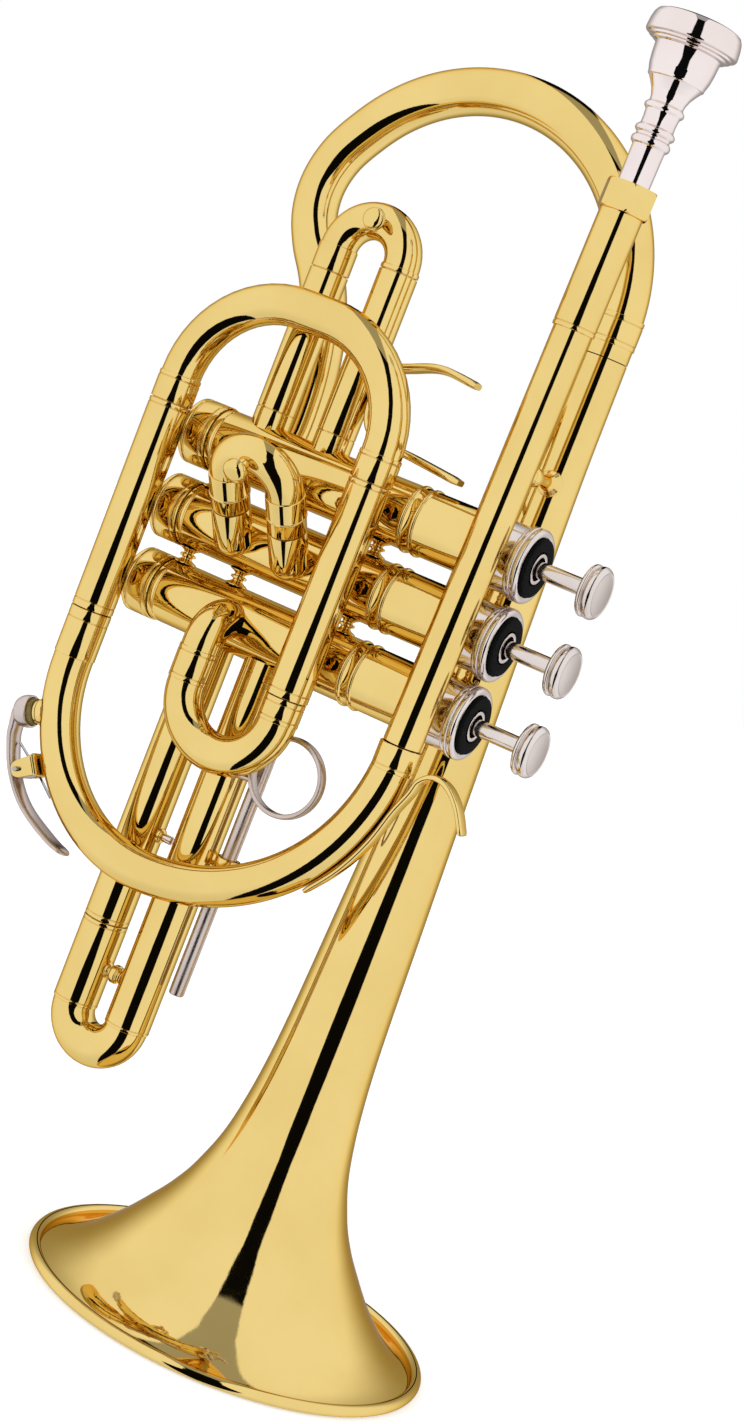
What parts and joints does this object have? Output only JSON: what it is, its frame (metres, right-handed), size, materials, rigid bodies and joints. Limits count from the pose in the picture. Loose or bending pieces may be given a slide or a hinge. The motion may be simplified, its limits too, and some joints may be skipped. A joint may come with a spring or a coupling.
{
  "type": "cornet",
  "caption": "Shepherd's-crook cornet with piston valves, pull-out tuning and valve slides, a water key and a removable mouthpiece.",
  "frame": {"origin": "centre of the bell's rim plane, on the bell's axis", "axes": "+Z along the bell towards the mouthpiece, +X towards the finger buttons, -Y towards the player's right"},
  "size_m": [0.1818, 0.13, 0.3956],
  "materials": {
    "lacquered_brass": "mirror polish under clear gold lacquer",
    "plain_brass": "machined, unlacquered",
    "nickel_plate": "polished nickel plate",
    "silver_plate": "polished silver plate",
    "spring_steel": "drawn wire",
    "black_felt": "pressed felt",
    "cork": "cut cork"
  },
  "bodies": {
    "instrument": {"leadpipe": "lacquered_brass", "mouthpiece_receiver": "lacquered_brass", "front_bow": "lacquered_brass", "main_slide_sleeve_left": "lacquered_brass", "main_slide_sleeve_right": "lacquered_brass", "valve_3_inlet_bow": "lacquered_brass", "valve_casing_1": "lacquered_brass", "valve_casing_2": "lacquered_brass", "valve_casing_3": "lacquered_brass", "crossover_1_2": "lacquered_brass", "crossover_2_3": "lacquered_brass", "first_slide_sleeve_left": "lacquered_brass", "first_slide_sleeve_right": "lacquered_brass", "thumb_saddle": "lacquered_brass", "second_slide_sleeve_left": "lacquered_brass", "second_slide_sleeve_right": "lacquered_brass", "third_slide_sleeve_left": "lacquered_brass", "third_slide_sleeve_right": "lacquered_brass", "water_key_bracket": "lacquered_brass", "bell": "lacquered_brass", "bell_crook": "lacquered_brass", "finger_hook": "lacquered_brass", "leadpipe_brace": "lacquered_brass", "bottom_cap_1": "lacquered_brass", "bottom_cap_2": "lacquered_brass", "bottom_cap_3": "lacquered_brass", "top_cap_1": "nickel_plate", "top_cap_2": "nickel_plate", "top_cap_3": "nickel_plate", "stop_rod": "nickel_plate", "valve_spring_1": "spring_steel", "valve_spring_2": "spring_steel", "valve_spring_3": "spring_steel", "water_key_pin": "spring_steel", "water_key_spring": "spring_steel", "cap_felt_1": "black_felt", "cap_felt_2": "black_felt", "cap_felt_3": "black_felt", "valve_guide_1": "plain_brass", "valve_guide_2": "plain_brass", "valve_guide_3": "plain_brass"},
    "valve_1": {"piston_1": "nickel_plate", "valve_stem_1": "nickel_plate", "finger_button_1": "nickel_plate"},
    "valve_2": {"piston_2": "nickel_plate", "valve_stem_2": "nickel_plate", "finger_button_2": "nickel_plate"},
    "valve_3": {"piston_3": "nickel_plate", "valve_stem_3": "nickel_plate", "finger_button_3": "nickel_plate"},
    "main_tuning_slide_body": {"main_tuning_slide": "lacquered_brass"},
    "first_slide_body": {"first_slide": "lacquered_brass", "first_slide_knob": "lacquered_brass"},
    "second_slide_body": {"second_slide": "lacquered_brass", "second_slide_knob": "lacquered_brass"},
    "third_slide_body": {"third_slide": "lacquered_brass", "finger_ring": "nickel_plate"},
    "mouthpiece_body": {"mouthpiece": "silver_plate"},
    "water_key_body": {"water_key": "nickel_plate", "water_key_cork": "cork"}
  },
  "joints": [
    {"name": "valve_1_press", "type": "slide", "parent": "instrument", "child": "valve_1", "axis": [-1, 0, 0], "range_m": [0, 0.014], "stiffness_N_per_m": 200, "springref_m": -0.01, "deforming": ["valve_spring_1"]},
    {"name": "valve_2_press", "type": "slide", "parent": "instrument", "child": "valve_2", "axis": [-1, 0, 0], "range_m": [0, 0.014], "stiffness_N_per_m": 200, "springref_m": -0.01, "deforming": ["valve_spring_2"]},
    {"name": "valve_3_press", "type": "slide", "parent": "instrument", "child": "valve_3", "axis": [-1, 0, 0], "range_m": [0, 0.014], "stiffness_N_per_m": 200, "springref_m": -0.01, "deforming": ["valve_spring_3"]},
    {"name": "main_tuning_slide_pull", "type": "slide", "parent": "instrument", "child": "main_tuning_slide_body", "axis": [0, 0, 1], "range_m": [0, 0.04]},
    {"name": "first_slide_pull", "type": "slide", "parent": "instrument", "child": "first_slide_body", "axis": [0, 0, 1], "range_m": [0, 0.022]},
    {"name": "second_slide_pull", "type": "slide", "parent": "instrument", "child": "second_slide_body", "axis": [0, -0.6756, 0.7373], "range_m": [0, 0.006]},
    {"name": "third_slide_pull", "type": "slide", "parent": "instrument", "child": "third_slide_body", "axis": [0, 0, -1], "range_m": [0, 0.02]},
    {"name": "mouthpiece_pull", "type": "slide", "parent": "instrument", "child": "mouthpiece_body", "axis": [0.0157, 0, 0.9999], "range_m": [0, 0.02]},
    {"name": "water_key_lift", "type": "hinge", "parent": "instrument", "child": "water_key_body", "pos_m": [-0.10821, -0.04, 0.12957], "axis": [0, -1, 0], "range_deg": [0, 7], "stiffness_Nm_per_rad": 0.02, "springref_deg": -22.92, "deforming": ["water_key_spring"]}
  ]
}
